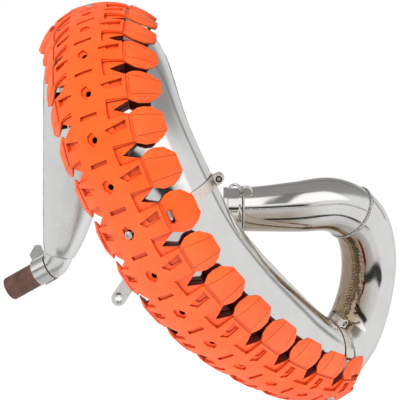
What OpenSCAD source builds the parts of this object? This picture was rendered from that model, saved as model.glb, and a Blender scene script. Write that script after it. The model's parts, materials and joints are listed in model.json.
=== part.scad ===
// Two-stroke expansion chamber exhaust pipe with a strapped-on articulated pipe guard.
// Frame: origin at the centre of the inlet mouth, +X along the header, +Z up, mm.

/* [View] */
// which sub-part to draw, or all of them

/* [Pipe] */
// sheet thickness of the stamped pipe halves
wall = 1.2; // [1:0.1:2]
// gap left at each welded seam line
seam_gap = 0.2; // [0.1:0.05:0.4]
// number of flats round half of the pipe
half_sides = 14; // [10:2:18]

/* [Inlet collar] */
// radius of the bore that slides over the cylinder spigot
inlet_bore_r = 20; // [18:0.5:21]
// length of the collar along the header
collar_len = 20; // [16:1:22]
// wall of the collar round its bore
collar_wall = 4; // [3:0.5:6]
// width of the raised lip at the mouth
collar_lip = 5; // [3:0.5:8]

/* [Stinger] */
// outer radius of the stinger tube
stinger_r = 14; // [12:0.5:15]
// wall of the stinger tube
stinger_wall = 1.5; // [1:0.25:2.5]
// length of the stinger's open end that the silencer slides over
fit_len = 40; // [30:1:40]
// length of the straight stinger tube
stinger_len = 60; // [45:1:80]
// bend radius of the elbow before the stinger
elbow_bend_r = 20; // [18:1:26]
// thickness of the saddle wrapped over the stinger root
saddle_t = 2.5; // [2:0.25:3.5]
// length of the saddle along the stinger
saddle_len = 18; // [12:1:24]

/* [Lower bracket] */
// thickness of the bracket plate
bracket_t = 3; // [2:0.5:5]
// width of the bracket plate
bracket_w = 15; // [13:1:20]
// length of the bracket from the pipe to the bolt hole
bracket_len = 35; // [28:1:40]
// radius of the bolt hole
bracket_hole_r = 4.1; // [3:0.1:4.5]
// length of the bushing round the bolt hole
bush_len = 10; // [8:1:16]

/* [Spring hooks] */
// radius of the hook wire
hook_wire_r = 1.6; // [1:0.1:2.2]
// radius of the hook loop
hook_loop_r = 6; // [5:0.5:8]

/* [Guard] */
// distance between neighbouring links along the outer line
link_pitch = 50; // [49:0.25:51]
// height of the outer skin above the pipe wall
guard_rise = 13; // [12:0.5:15]
// thickness of the moulded skin
skin_t = 4; // [3:0.25:5]
// gap between neighbouring links
link_gap = 0.5; // [0.3:0.1:1.5]
// angle of the edge of the middle flat
flat_angle = 16; // [14:1:18]
// angle where the links stop touching each other
belt_angle = 22; // [20:1:24]
// angle of the fold line between link and tab
fold_angle = 36; // [34:1:37]
// angle of the tab tip
tip_angle = 62; // [60:1:65]
// extra height of the tab tip above the pipe
tip_rise = 3; // [2:0.5:4]
// gap at the fold line between link and tab
fold_gap = 0.4; // [0.3:0.1:0.8]
// angle of the slot in the clamped tabs
slot_angle = 42; // [41:0.5:44]
// radius of the round hole on the spine of each link
spine_hole_r = 3.2; // [2.8:0.1:3.8]
// depth of the pockets moulded into the skin
pocket_depth = 2; // [1:0.25:2.5]
// clearance between the link ribs and the pipe
rib_clear = 0.9; // [0.8:0.1:2]

/* [Clamps] */
// width of the clamp band
band_w = 9; // [8:0.5:12]
// thickness of the clamp band
band_t = 0.9; // [0.6:0.1:1.2]
// clearance between pipe and band
band_clear = 0.55; // [0.5:0.05:0.7]
// angle of the worm housing round the pipe
housing_angle = 120; // [112:1:128]
// radius of the worm screw thread
worm_r = 3.3; // [2.8:0.1:3.6]
// running clearance round the worm screw
worm_clear = 0.08; // [0.04:0.01:0.1]
// length of the worm screw inside its housing
worm_len = 15; // [13:0.5:18]
// radius of the guard screw shank
screw_r = 2.2; // [1.8:0.1:2.2]
// radius of the guard screw head
screw_head_r = 3.7; // [3.4:0.1:3.8]

/* [Hidden] */

// waypoints of the pipe centre line: x, y, z and pipe radius
way = [
  [collar_len, 0, 0, inlet_bore_r + collar_wall - 0.5], [48, 3, 1, 25], [83, 12, 3, 27.5], [120, 29, 5, 29.5],
  [151, 53, -13, 30.5], [164, 81, -52, 30.5], [161, 98, -98, 30.5],
  [145, 96, -141, 32.5], [117, 68, -162, 38], [82, 25, -150, 45],
  [39, -19, -120, 52.5], [-3, -59, -83, 56], [-40, -84, -37, 57],
  [-70, -92, 19, 58], [-94, -88, 71, 59], [-107, -66, 112, 59],
  [-115, -19, 139, 58.5], [-124, 34, 154, 58], [-139, 83, 160, 56],
  [-151, 120, 147, 53], [-159, 140, 102, 46.5], [-172, 155, 30, 35],
  [-180, 160, -13, 27.5], [-186, 162, -40, 21.5], [-189, 164, -54, 17]
];
last = len(way) - 1;
header_end = 3.6;
bend_end = 8;
belly_end = 16.5;
guard_start = 8.08;
links = 15;
clamped = [1, 8, 15];
// the middle band sits a little askew, so it needs more room
function lean(n) = n == 8 ? 0.07 : 0;
function band_room(n) = band_clear + 0.75 * lean(n) * band_w;
stinger_dir = unit([-0.83, 0.32, -0.46]);

function unit(v) = v / norm(v);
function wp(i) = i < 0 ? [2 * way[0][0] - way[1][0], way[1][1], way[1][2], way[0][3]]
  : i > last ? 2 * way[last] - way[last - 1] : way[i];
function curve(a, b, c, d, f) = 0.5 * (2 * b + (c - a) * f + (2 * a - 5 * b + 4 * c - d) * f * f
  + (3 * b - a - 3 * c + d) * f * f * f);
function at(t) = let (i = min(floor(t), last - 1)) curve(wp(i - 1), wp(i), wp(i + 1), wp(i + 2), t - i);
function pos(t) = let (p = at(t)) [p[0], p[1], p[2]];
function rad(t) = at(t)[3];
function along(t) = unit(pos(min(t + 0.01, last)) - pos(max(t - 0.01, 0)));
function square_to(v, t) = unit(v - (v * t) * t);

// direction in which the middle of the guard faces
function face_dir(t) = [
  lookup(t, [[8, 0.28], [9, 0.06], [10, -0.14], [11, -0.25], [12, -0.46], [13.5, -0.55], [15, -0.54],
    [16.3, -0.4], [17.3, -0.3], [19, -0.3]]),
  lookup(t, [[8, -0.45], [9, -0.5], [10, -0.57], [11, -0.66], [12, -0.76], [13.5, -0.84],
    [14.4, -0.8], [15, -0.65], [15.5, -0.45], [16.3, -0.33], [17.3, -0.05], [18.3, 0.35]]),
  lookup(t, [[8, -0.84], [9, -0.85], [10, -0.81], [11, -0.73], [12, -0.5], [13, -0.3],
    [13.9, -0.06], [14.4, 0.3], [15, 0.57], [15.5, 0.77], [16.3, 0.87], [17.3, 0.95], [18.3, 0.9]])];
function guard_n(t) = square_to(face_dir(t), along(t));
function spine(t) = pos(t) + (rad(t) + guard_rise) * guard_n(t);

// stations along the guard, measured on its outer line
steps = 110;
function step_t(i) = guard_start - 0.4 + i * 0.1;
line_len = [for (i = 0, s = 0; i <= steps; s = s + norm(spine(step_t(i + 1)) - spine(step_t(i))),
  i = i + 1) s];
line_map = [for (i = [0:steps]) [line_len[i] - line_len[4], step_t(i)]];
function station(k) = lookup(k * link_pitch, line_map);
function link_t(n) = station(links - n + 0.5);

// a point of link n: angle a round the pipe, height h above it, w from -1 to 1 along it
function extra(a) = lookup(abs(a), [[0, 0], [flat_angle, 0.6], [belt_angle, 1], [fold_angle, 1.6],
  [tip_angle, tip_rise]]);
// the chain winds round the pipe, so its cross lines lean by this many mm for each degree
function skew(t) = lookup(t, [[8.4, 0], [9, -0.05], [10.3, -0.06], [11.5, -0.03], [12.65, 0.02],
  [13.3, 0.08], [14, 0.1], [14.55, 0.14], [15.1, 0.2], [15.65, 0.34], [16.4, 0.42], [17.2, 0.35]]);
function mm_per_t(t) = 5 * norm(pos(t + 0.1) - pos(t - 0.1));
function leaned(t, a) = t - skew(t) * a / mm_per_t(t);
function ring_pt(t, a, h) = let (q = leaned(t, a), n = guard_n(q), b = cross(along(q), n))
  pos(q) + (rad(q) + h + (h > 5 ? extra(a) : 0)) * (cos(a) * n + sin(a) * b);
function link_pt(n, a, h, w) = let (e = ring_pt(link_t(n), a, h),
  f = ring_pt(station(links - n + (w < 0 ? 0 : 1)), a, h)) e + (f - e) * abs(w);

// solid lofted through rings of points; a ring runs out along its outer side and back inside
module strip_loft(rings) {
  p = len(rings[0]);
  m = len(rings);
  polyhedron(
    points = [for (r = rings) each r],
    faces = concat(
      [for (j = [0:m - 2], i = [0:p - 1]) [j * p + i, (j + 1) * p + i, (j + 1) * p + (i + 1) % p]],
      [for (j = [0:m - 2], i = [0:p - 1]) [j * p + i, (j + 1) * p + (i + 1) % p, j * p + (i + 1) % p]],
      [for (i = [0:p / 2 - 2]) [i, i + 1, p - 2 - i]],
      [for (i = [0:p / 2 - 2]) [i, p - 2 - i, p - 1 - i]],
      [for (i = [0:p / 2 - 2]) let (o = (m - 1) * p) [o + i, o + p - 2 - i, o + i + 1]],
      [for (i = [0:p / 2 - 2]) let (o = (m - 1) * p) [o + i, o + p - 1 - i, o + p - 2 - i]]));
}

// one stamped half of the pipe between two stations, facing a given way
module half_shell(t0, t1, count, sign) {
  strip_loft([for (j = [0:count]) let (
      t = t0 + (t1 - t0) * j / count, c = pos(t), r = rad(t), d = along(t),
      u = sign * square_to(half_side(t), d), v = cross(d, u), e = asin(seam_gap / 2 / r))
    [for (s = [0, 1], i = [0:half_sides]) let (
        q = s == 0 ? i : half_sides - i, a = -90 + e + (180 - 2 * e) * q / half_sides, k = r - s * wall)
      c + k * (cos(a) * u + sin(a) * v)]]);
}

// places children with z along a direction, x turned towards another
module aim(o, z, x) {
  zz = unit(z);
  xx = square_to(x, zz);
  yy = cross(zz, xx);
  multmatrix([[xx[0], yy[0], zz[0], o[0]], [xx[1], yy[1], zz[1], o[1]], [xx[2], yy[2], zz[2], o[2]]])
    children();
}

steel = [0.78, 0.78, 0.76];
orange = [0.95, 0.35, 0.1];
// way in which the first of the two stamped halves faces at a station
function half_side(t) = t < header_end ? [0, 0, 1] : [
  lookup(t, [[8, 0.74], [10.5, 0], [14.5, -0.1], [16.5, -0.35], [18, -0.2], [24, -0.15]]),
  lookup(t, [[8, -0.67], [10.5, -1], [14.5, -0.9], [16.5, -0.4], [18, 0], [19, 0.6], [20, 1]]),
  lookup(t, [[10.5, 0], [14.5, 0.27], [16.5, 0.86], [18, 1], [19, 0.8], [20, 0.2], [24, 0]])];
gap_t = 0.003;

module inlet_collar() {
  color(steel) rotate([0, 90, 0]) difference() {
    union() {
      cylinder(h = collar_len, r = inlet_bore_r + collar_wall - 1, $fn = 64);
      cylinder(h = collar_lip, r = inlet_bore_r + collar_wall, $fn = 64);
      translate([0, 0, collar_len - 4]) cylinder(h = 3.8, r1 = inlet_bore_r + collar_wall - 1,
        r2 = inlet_bore_r + collar_wall, $fn = 64);
    }
    translate([0, 0, -1]) cylinder(h = collar_len + 2, r = inlet_bore_r, $fn = 64);
  }
}
module header_upper() { color(steel) half_shell(gap_t, header_end - gap_t, 11, 1); }
module header_lower() { color(steel) half_shell(gap_t, header_end - gap_t, 11, -1); }
module bend_front() { color(steel) half_shell(header_end + gap_t, bend_end - gap_t, 16, 1); }
module bend_rear() { color(steel) half_shell(header_end + gap_t, bend_end - gap_t, 16, -1); }
module belly_front() { color(steel) half_shell(bend_end + gap_t, belly_end - gap_t, 26, 1); }
module belly_rear() { color(steel) half_shell(bend_end + gap_t, belly_end - gap_t, 26, -1); }
module tail_outer() { color(steel) half_shell(belly_end + gap_t, last, 22, 1); }
module tail_inner() { color(steel) half_shell(belly_end + gap_t, last, 22, -1); }

tail_dir = along(last);
tail_tip = pos(last) + 0.2 * tail_dir;
elbow_angle = acos(tail_dir * stinger_dir);
elbow_x = -square_to(stinger_dir, tail_dir);
elbow_axis = cross(tail_dir, elbow_x);
elbow_mid = tail_tip - elbow_bend_r * elbow_x;
elbow_r = stinger_r + stinger_wall;
elbow_end = elbow_mid + elbow_bend_r * (cos(elbow_angle) * elbow_x + sin(elbow_angle) * tail_dir);
stinger_root = elbow_end + 0.2 * stinger_dir;

module tail_elbow() {
  color(steel) multmatrix([
      [elbow_x[0], tail_dir[0], -elbow_axis[0], elbow_mid[0]],
      [elbow_x[1], tail_dir[1], -elbow_axis[1], elbow_mid[1]],
      [elbow_x[2], tail_dir[2], -elbow_axis[2], elbow_mid[2]]])
    rotate_extrude(angle = elbow_angle, $fn = 64) translate([elbow_bend_r, 0]) difference() {
      circle(r = elbow_r, $fn = 48);
      circle(r = elbow_r - stinger_wall, $fn = 48);
    }
}
module stinger_tube() {
  color([0.4, 0.27, 0.22]) aim(stinger_root, stinger_dir, [0, 0, 1]) difference() {
    union() {
      cylinder(h = stinger_len - fit_len, r = stinger_r - 0.2, $fn = 48);
      translate([0, 0, stinger_len - fit_len]) cylinder(h = fit_len, r = stinger_r, $fn = 48);
    }
    translate([0, 0, -1]) cylinder(h = stinger_len + 2, r = stinger_r - stinger_wall, $fn = 48);
  }
}
// folded saddle over the root of the stinger with a stay reaching up beside the cone
module stinger_saddle() {
  r0 = stinger_r + 0.1;
  r1 = r0 + saddle_t;
  color(steel) aim(stinger_root, stinger_dir, [0, 0, 1]) {
    translate([0, 0, 1]) difference() {
      cylinder(h = saddle_len, r = r1, $fn = 48);
      translate([0, 0, -1]) cylinder(h = saddle_len + 2, r = r0, $fn = 48);
      translate([-r1 - 1, -5, -1]) cube([r1 + 1 - 6, 10, saddle_len + 2]);
    }
    difference() {
      translate([r0 + 0.2, -1.5, 1]) rotate([90, 0, 0]) mirror([0, 0, 1])
        linear_extrude(height = saddle_t)
          polygon([[0, 0], [14, 0], [17, 6], [10, saddle_len], [0, saddle_len]]);
    }
  }
}
bracket_t0 = 12;
bracket_out = square_to([-0.8, 0.3, -0.52], along(bracket_t0));
bracket_run = unit([-0.55, 0.2, -0.81]);
bracket_base = pos(bracket_t0) + (rad(bracket_t0) + 3.1) * bracket_out;
// pressed plate welded to the belly with a bushing for the frame bolt
module lower_bracket() {
  color(steel) aim(bracket_base, cross(bracket_run, along(bracket_t0)), bracket_run) difference() {
    union() {
      translate([0, -bracket_w / 2, -bracket_t / 2]) cube([bracket_len, bracket_w, bracket_t]);
      translate([bracket_len, 0, -bracket_t / 2]) cylinder(h = bracket_t, r = bracket_w / 2, $fn = 48);
      translate([bracket_len, 0, -bush_len / 2]) cylinder(h = bush_len, r = bracket_hole_r + 2, $fn = 48);
    }
    translate([bracket_len, 0, -bush_len]) cylinder(h = 2 * bush_len, r = bracket_hole_r, $fn = 48);
  }
}
// place on the centre line, degrees round from the top, shift along
hook_places = [[0.02, -34, -7], [0.02, 42, 3]];
// bent wire hooks for the header springs
module spring_hooks() {
  color(steel) for (h = hook_places) let (t = h[0], a = h[1],
      d = along(t), u = square_to([0, 0, 1], d), v = cross(d, u), o = cos(a) * u + sin(a) * v)
    aim(pos(t) + (rad(t) + hook_wire_r + 0.9) * o + h[2] * d, cross(d, o), d) {
      rotate_extrude(angle = 180, $fn = 48) translate([hook_loop_r, 0]) circle(r = hook_wire_r, $fn = 24);
      for (e = [-1, 1]) translate([e * hook_loop_r, 0, 0]) rotate([90, 0, 0])
        cylinder(h = hook_wire_r, r = hook_wire_r, $fn = 24);
    }
}

// half width of a link at an angle round the pipe
edge = 1 - link_gap / link_pitch;
function width_at(a) = lookup(abs(a), [[0, edge], [belt_angle, edge], [fold_angle, 0.64],
  [fold_angle + 4, 0.78], [tip_angle - 10, 0.88], [tip_angle - 5.5, 0.78], [tip_angle, 0.45]]);
function skin_ring(n, a, h0, w) = [for (k = [w, 0, -w]) link_pt(n, a, guard_rise, k),
  for (k = [-w, 0, w]) link_pt(n, a, h0, k)];
// moulded skin through [angle, height of its under side] stations round the pipe
module skin(n, profile) {
  strip_loft([for (q = profile) skin_ring(n, q[0], q[1], width_at(q[0]))]);
}
under = guard_rise - skin_t;
rib_slope = 0.3;
// the rib that stands on the pipe between two angles
function rib(a0, a1, low) = [[a0 - rib_slope, under], [a0, low], [a1, low], [a1 + rib_slope, under]];
function mirrored(list) = [for (i = [len(list) - 1:-1:0]) [-list[i][0], list[i][1]]];
function plate_side(low) = concat([[flat_angle, under], [belt_angle, under]],
  rib(fold_angle - 3.5, fold_angle - 1, low), [[fold_angle, under]]);
function tab_side(low) = concat([[fold_angle + 4, under], [tip_angle - 10, under],
  [tip_angle - 5.5, under]], rib(tip_angle - 4, tip_angle - 2, low), [[tip_angle, under]]);
// frame of link n: z out of the pipe, y along it, x towards the right-hand tab
module on_link(n, a = 0, y = 0) {
  q = leaned(link_t(n), a) + y / link_pitch * (station(links - n + 1) - station(links - n));
  d = along(q);
  g = guard_n(q);
  z = cos(a) * g + sin(a) * cross(d, g);
  across = cross(d, z) - skew(link_t(n)) * 57.3 / (rad(q) + guard_rise) * d;
  aim(pos(q) + (rad(q) + guard_rise) * z, z, across) children();
}
window_angle = 24.5;
// depth of the slots between links
end_slot_depth = 2.2;
// rounded slot in the tabs of a held link
slot_r = 2.5;
slot_half = 7.5;
through = 30;
// hole, slots, windows and end pockets moulded into the middle plate of a link
module belt_pockets(n) {
  k = (rad(link_t(n)) + guard_rise) * PI / 180;
  on_link(n) {
    translate([0, 0, -skin_t * 2]) cylinder(h = skin_t * 4, r = spine_hole_r, $fn = 32);
    translate([0, 0, -pocket_depth * 0.7]) linear_extrude(height = 8)
      polygon([[1, 8], [-4.3, 5.5], [-5, -1], [0.5, -7], [6, -4], [7, 1]]);
  }
  for (s = [-1, 1]) on_link(n, 0, s * link_pitch / 2)
    translate([-9.5, -2.3, -end_slot_depth]) cube([19, 4.6, 12]);
  for (s = [-1, 1]) {
    on_link(n, s * window_angle) translate([0, 0, extra(window_angle) - pocket_depth])
      linear_extrude(height = 9) polygon([for (q = [[14, 5.3], [32, 10.5], [31.8, 1], [18.8, -1]])
        [s * (q[0] - window_angle) * k, q[1]]]);
    for (e = [-1, 1]) on_link(n, s * (window_angle + 2), e * 0.42 * link_pitch)
      translate([-10 * k, -6, extra(window_angle) - pocket_depth]) cube([20 * k, 14, 12]);
  }
}
module link_body(n) {
  held = len(search(n, clamped)) > 0;
  low = held ? band_room(n) + band_t + 0.6 : rib_clear;
  side = held ? concat(plate_side(low), tab_side(low)) : plate_side(low);
  difference() {
    skin(n, concat(mirrored(side), [[0, under]], side));
    belt_pockets(n);
    if (held) for (s = [-1, 1]) on_link(n, s * slot_angle) {
      translate([-slot_r, -slot_half, -through / 2]) cube([2 * slot_r, 2 * slot_half, through]);
      for (e = [-1, 1]) translate([0, e * slot_half, -through / 2])
        cylinder(h = through, r = slot_r, $fn = 32);
    }
  }
}
module guard_link(n) { color(orange) link_body(n); }
module tab_body(n, s) {
  lift = atan(fold_gap / (rad(link_t(n)) + guard_rise));
  side = concat([[fold_angle + lift, under]], tab_side(rib_clear));
  color([1, 0.45, 0.2]) skin(n, s > 0 ? side : mirrored(side));
}

// clamp frames: z along the pipe, x towards the middle of the guard
module on_clamp(n) {
  t = link_t(n);
  z = unit(along(t) + lean(n) * guard_n(t));
  aim(pos(t) + lean(n) * rad(t) * along(t), z, guard_n(t)) children();
}
function clamp_r(n, z) = let (t = link_t(n), s = norm(pos(t + 0.1) - pos(t - 0.1)) / 0.2)
  rad(t + z / s) + band_room(n);
module clamp_bands() {
  h = band_w / 2;
  color([0.72, 0.7, 0.65]) for (n = clamped) on_clamp(n) rotate_extrude($fn = 96)
    polygon([[clamp_r(n, -h), -h], [clamp_r(n, -h) + band_t, -h],
      [clamp_r(n, h) + band_t, h], [clamp_r(n, h), h]]);
}
housing_h = 2 * (worm_r + worm_clear) + 2.4;
function band_top(n) = max(clamp_r(n, -band_w / 2), clamp_r(n, band_w / 2)) + band_t + 0.1;
module on_housing(n) {
  on_clamp(n) rotate([0, 0, housing_angle]) translate([band_top(n), 0, 0]) children();
}
module clamp_housings() {
  color([0.75, 0.74, 0.72]) for (n = clamped) on_housing(n) difference() {
    translate([0, -worm_len / 2, -band_w / 2 - 1]) cube([housing_h, worm_len, band_w + 2]);
    translate([housing_h / 2, -worm_len, 0]) rotate([-90, 0, 0])
      cylinder(h = 2 * worm_len, r = worm_r + worm_clear, $fn = 48);
  }
}
module worm(n) {
  color([0.8, 0.8, 0.78]) on_housing(n) translate([housing_h / 2, -worm_len / 2, 0]) rotate([-90, 0, 0])
    difference() {
      union() {
        cylinder(h = worm_len + 1, r = worm_r, $fn = 48);
        translate([0, 0, worm_len + 0.5]) cylinder(h = 5, r = 4, $fn = 6);
      }
      translate([-5, -0.6, worm_len + 4]) cube([10, 1.2, 3]);
    }
}
nut_h = 4.5;
// threaded blocks on the clamp bands that take the guard screws
module nut_plates() {
  color([0.6, 0.6, 0.58]) for (n = clamped)
    on_clamp(n) translate([band_top(n) + 0.1, 0, 0]) rotate([0, 90, 0]) difference() {
      translate([-band_w / 2, -6, 0]) cube([band_w, 12, nut_h]);
      translate([0, 0, -1]) cylinder(h = nut_h + 2, r = screw_r + 0.05, $fn = 32);
    }
}
module guard_screws() {
  color([0.85, 0.85, 0.83]) for (n = clamped) let (z0 = band_top(n) + 0.6, z1 = rad(link_t(n)) + guard_rise
      - pocket_depth * 0.7 + 2 * lean(n) * screw_head_r + 0.2)
    on_clamp(n) rotate([0, 90, 0]) difference() {
      union() {
        translate([0, 0, z0]) cylinder(h = z1 - z0 + 0.5, r = screw_r, $fn = 32);
        translate([0, 0, z1]) cylinder(h = 1.2, r = screw_head_r, $fn = 48);
        translate([0, 0, z1 + 1.2]) cylinder(h = 1.2, r1 = screw_head_r, r2 = screw_head_r - 1.4, $fn = 48);
      }
      translate([0, 0, z1 + 0.9]) cylinder(h = 3, r = 1.8, $fn = 6);
    }
}
module guard_link_01() { guard_link(1); }
module guard_link_02() { guard_link(2); }
module guard_link_03() { guard_link(3); }
module guard_link_04() { guard_link(4); }
module guard_link_05() { guard_link(5); }
module guard_link_06() { guard_link(6); }
module guard_link_07() { guard_link(7); }
module guard_link_08() { guard_link(8); }
module guard_link_09() { guard_link(9); }
module guard_link_10() { guard_link(10); }
module guard_link_11() { guard_link(11); }
module guard_link_12() { guard_link(12); }
module guard_link_13() { guard_link(13); }
module guard_link_14() { guard_link(14); }
module guard_link_15() { guard_link(15); }
module tab_r_02() { tab_body(2, 1); }
module tab_l_02() { tab_body(2, -1); }
module tab_r_03() { tab_body(3, 1); }
module tab_l_03() { tab_body(3, -1); }
module tab_r_04() { tab_body(4, 1); }
module tab_l_04() { tab_body(4, -1); }
module tab_r_05() { tab_body(5, 1); }
module tab_l_05() { tab_body(5, -1); }
module tab_r_06() { tab_body(6, 1); }
module tab_l_06() { tab_body(6, -1); }
module tab_r_07() { tab_body(7, 1); }
module tab_l_07() { tab_body(7, -1); }
module tab_r_09() { tab_body(9, 1); }
module tab_l_09() { tab_body(9, -1); }
module tab_r_10() { tab_body(10, 1); }
module tab_l_10() { tab_body(10, -1); }
module tab_r_11() { tab_body(11, 1); }
module tab_l_11() { tab_body(11, -1); }
module tab_r_12() { tab_body(12, 1); }
module tab_l_12() { tab_body(12, -1); }
module tab_r_13() { tab_body(13, 1); }
module tab_l_13() { tab_body(13, -1); }
module tab_r_14() { tab_body(14, 1); }
module tab_l_14() { tab_body(14, -1); }
module worm_screw_1() { worm(1); }
module worm_screw_2() { worm(8); }
module worm_screw_3() { worm(15); }

inlet_collar();
header_upper();
header_lower();
bend_front();
bend_rear();
belly_front();
belly_rear();
tail_outer();
tail_inner();
tail_elbow();
stinger_tube();
stinger_saddle();
lower_bracket();
spring_hooks();
guard_link_01();
guard_link_02();
guard_link_03();
guard_link_04();
guard_link_05();
guard_link_06();
guard_link_07();
guard_link_08();
guard_link_09();
guard_link_10();
guard_link_11();
guard_link_12();
guard_link_13();
guard_link_14();
guard_link_15();
tab_r_02();
tab_l_02();
tab_r_03();
tab_l_03();
tab_r_04();
tab_l_04();
tab_r_05();
tab_l_05();
tab_r_06();
tab_l_06();
tab_r_07();
tab_l_07();
tab_r_09();
tab_l_09();
tab_r_10();
tab_l_10();
tab_r_11();
tab_l_11();
tab_r_12();
tab_l_12();
tab_r_13();
tab_l_13();
tab_r_14();
tab_l_14();
clamp_bands();
clamp_housings();
nut_plates();
guard_screws();
worm_screw_1();
worm_screw_2();
worm_screw_3();
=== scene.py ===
"""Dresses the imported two-stroke exhaust pipe and its moulded guard for the studio picture.

Lengths are millimetres in the part's own frame until a mesh is made, where MM turns them to metres.
The pipe's centre line and the guard's layout are those of the part's source.
"""

import json
import math

import bmesh
import bpy
import numpy as np
from mathutils import Matrix, Vector

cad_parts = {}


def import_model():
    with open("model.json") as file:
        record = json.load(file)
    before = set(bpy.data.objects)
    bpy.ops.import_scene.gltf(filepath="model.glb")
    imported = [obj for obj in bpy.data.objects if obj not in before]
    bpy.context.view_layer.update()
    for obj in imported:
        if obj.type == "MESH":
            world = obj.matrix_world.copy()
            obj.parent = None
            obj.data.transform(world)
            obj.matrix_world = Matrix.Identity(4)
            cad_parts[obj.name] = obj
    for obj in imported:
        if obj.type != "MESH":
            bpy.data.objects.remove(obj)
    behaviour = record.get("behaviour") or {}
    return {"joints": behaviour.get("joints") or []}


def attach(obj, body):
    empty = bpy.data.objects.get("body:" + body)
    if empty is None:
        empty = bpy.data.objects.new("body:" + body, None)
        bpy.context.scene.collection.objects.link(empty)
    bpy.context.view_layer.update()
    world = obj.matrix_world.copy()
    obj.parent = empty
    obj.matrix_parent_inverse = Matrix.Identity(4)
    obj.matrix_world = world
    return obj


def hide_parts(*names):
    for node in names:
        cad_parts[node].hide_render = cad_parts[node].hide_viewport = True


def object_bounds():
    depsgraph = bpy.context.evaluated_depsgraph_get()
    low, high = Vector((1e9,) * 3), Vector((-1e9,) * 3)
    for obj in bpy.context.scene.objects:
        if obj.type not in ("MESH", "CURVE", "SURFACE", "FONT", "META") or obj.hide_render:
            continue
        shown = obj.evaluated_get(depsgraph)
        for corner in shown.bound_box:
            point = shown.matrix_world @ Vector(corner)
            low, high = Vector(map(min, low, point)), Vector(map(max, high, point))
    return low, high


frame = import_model()
cad_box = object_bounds()
MM = 0.001

# ---- pipe centre line

# x, y, z and pipe radius of the waypoints of the part's source
WAY = [
    (20, 0, 0, 23.5), (48, 3, 1, 25), (83, 12, 3, 27.5), (120, 29, 5, 29.5),
    (151, 53, -13, 30.5), (164, 81, -52, 30.5), (161, 98, -98, 30.5),
    (145, 96, -141, 32.5), (117, 68, -162, 38), (82, 25, -150, 45),
    (39, -19, -120, 52.5), (-3, -59, -83, 56), (-40, -84, -37, 57),
    (-70, -92, 19, 58), (-94, -88, 71, 59), (-107, -66, 112, 59),
    (-115, -19, 139, 58.5), (-124, 34, 154, 58), (-139, 83, 160, 56),
    (-151, 120, 147, 53), (-159, 140, 102, 46.5), (-172, 155, 30, 35),
    (-180, 160, -13, 27.5), (-186, 162, -40, 21.5), (-189, 164, -54, 17),
]
LAST = len(WAY) - 1
# t counts waypoints along the pipe; the welded sections end at these
HEADER_END, BEND_END, BELLY_END = 3.6, 8, 16.5
WALL, SEAM_GAP = 1.2, 0.2
STEP = 0.02
GRID = np.arange(0, LAST + STEP / 2, STEP)
KINK_WIDTH = 0.16


def unit(v):
    """Rows, or one row, brought to length 1."""
    return v / np.linalg.norm(v, axis=-1, keepdims=True)


def square_to(v, t):
    """The part of v square to the unit vector t, as a unit vector."""
    return unit(v - np.sum(v * t, axis=-1, keepdims=True) * t)


def lookup(t, knots):
    """Straight-line interpolation in a list of (t, value)."""
    return np.interp(t, [k[0] for k in knots], [k[1] for k in knots])


def way_point(i):
    """Waypoint i, with one more before the first and after the last."""
    rows = np.array(WAY, float)
    if i < 0:
        return np.array([2 * rows[0][0] - rows[1][0], rows[1][1], rows[1][2], rows[0][3]])
    return 2 * rows[LAST] - rows[LAST - 1] if i > LAST else rows[i]


def spline(t):
    """Catmull-Rom curve through the waypoints."""
    i = min(int(t), LAST - 1)
    f = t - i
    a, b, c, d = (way_point(i + k) for k in (-1, 0, 1, 2))
    return 0.5 * (2 * b + (c - a) * f + (2 * a - 5 * b + 4 * c - d) * f**2 + (3 * b - a - 3 * c + d) * f**3)


def smoothed(rows, width=KINK_WIDTH):
    """Rows along the grid with small kinks averaged out, both ends kept."""
    n = int(3 * width / STEP)
    weights = np.exp(-0.5 * (np.arange(-n, n + 1) * STEP / width) ** 2)
    weights /= weights.sum()
    before = 2 * rows[0] - rows[n:0:-1]
    after = 2 * rows[-1] - rows[-2 : -n - 2 : -1]
    padded = np.concatenate([before, rows, after])
    return np.stack([np.convolve(column, weights, "valid") for column in padded.T], 1)


def columns(*tables):
    """Unit rows over the grid from one knot list for each of x, y and z."""
    return unit(smoothed(np.stack([lookup(GRID, t) for t in tables], 1)))


CURVE = smoothed(np.array([spline(t) for t in GRID]))  # x, y, z and radius
ALONG = unit(np.gradient(CURVE[:, :3], axis=0))
# direction in which the middle of the guard faces
FACE = columns(
    [(8, 0.28), (9, 0.06), (10, -0.14), (11, -0.25), (12, -0.46), (13.5, -0.55), (15, -0.54),
     (16.3, -0.4), (17.3, -0.3), (19, -0.3)],
    [(8, -0.45), (9, -0.5), (10, -0.57), (11, -0.66), (12, -0.76), (13.5, -0.84), (14.4, -0.8),
     (15, -0.65), (15.5, -0.45), (16.3, -0.33), (17.3, -0.05), (18.3, 0.35)],
    [(8, -0.84), (9, -0.85), (10, -0.81), (11, -0.73), (12, -0.5), (13, -0.3), (13.9, -0.06),
     (14.4, 0.3), (15, 0.57), (15.5, 0.77), (16.3, 0.87), (17.3, 0.95), (18.3, 0.9)])
# direction in which the outer stamped half faces, after the header
HALF = columns(
    [(8, 0.74), (10.5, 0), (14.5, -0.1), (16.5, -0.35), (18, -0.2), (24, -0.15)],
    [(8, -0.67), (10.5, -1), (14.5, -0.9), (16.5, -0.4), (18, 0), (19, 0.6), (20, 1)],
    [(10.5, 0), (14.5, 0.27), (16.5, 0.86), (18, 1), (19, 0.8), (20, 0.2), (24, 0)])


def sample(rows, t):
    """Rows of the grid at any t, an array or one number."""
    return np.stack([np.interp(t, GRID, column) for column in rows.T], -1)


def pos(t):
    """Centre of the pipe at t."""
    return sample(CURVE[:, :3], t)


def rad(t):
    """Radius of the pipe at t."""
    return np.interp(t, GRID, CURVE[:, 3])


def along(t):
    return unit(sample(ALONG, t))


def guard_n(t):
    """Direction from the pipe's centre to the middle of the guard."""
    return square_to(sample(FACE, t), along(t))


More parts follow.
